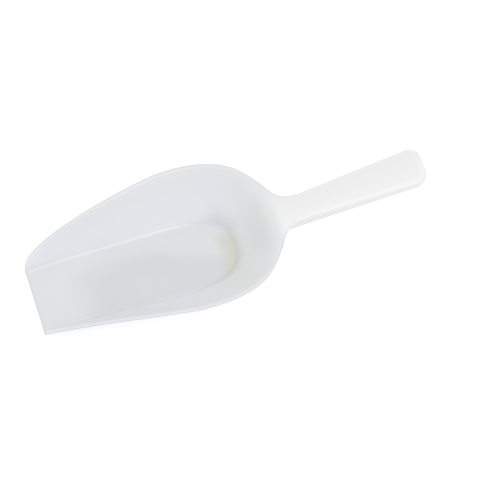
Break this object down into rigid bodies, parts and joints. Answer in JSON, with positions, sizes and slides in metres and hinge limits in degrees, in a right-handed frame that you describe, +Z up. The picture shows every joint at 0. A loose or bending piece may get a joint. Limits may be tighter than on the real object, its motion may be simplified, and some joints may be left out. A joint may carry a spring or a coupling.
{
  "type": "ice scoop",
  "caption": "Flat-bottomed moulded plastic ice scoop: open flared bowl with a straight front lip, a round back and a straight, rising channel handle.",
  "frame": {"origin": "middle of the flat underside, which rests on the table", "axes": "+X from the lip towards the end of the handle, +Y across the scoop, +Z up out of the bowl"},
  "size_m": [0.28, 0.1122, 0.0455],
  "materials": {
    "plastic": "natural white polypropylene, satin moulded surface, slightly translucent"
  },
  "bodies": {
    "root": {"bowl_floor": "plastic", "bowl_wall": "plastic", "neck": "plastic", "handle": "plastic"}
  },
  "joints": []
}
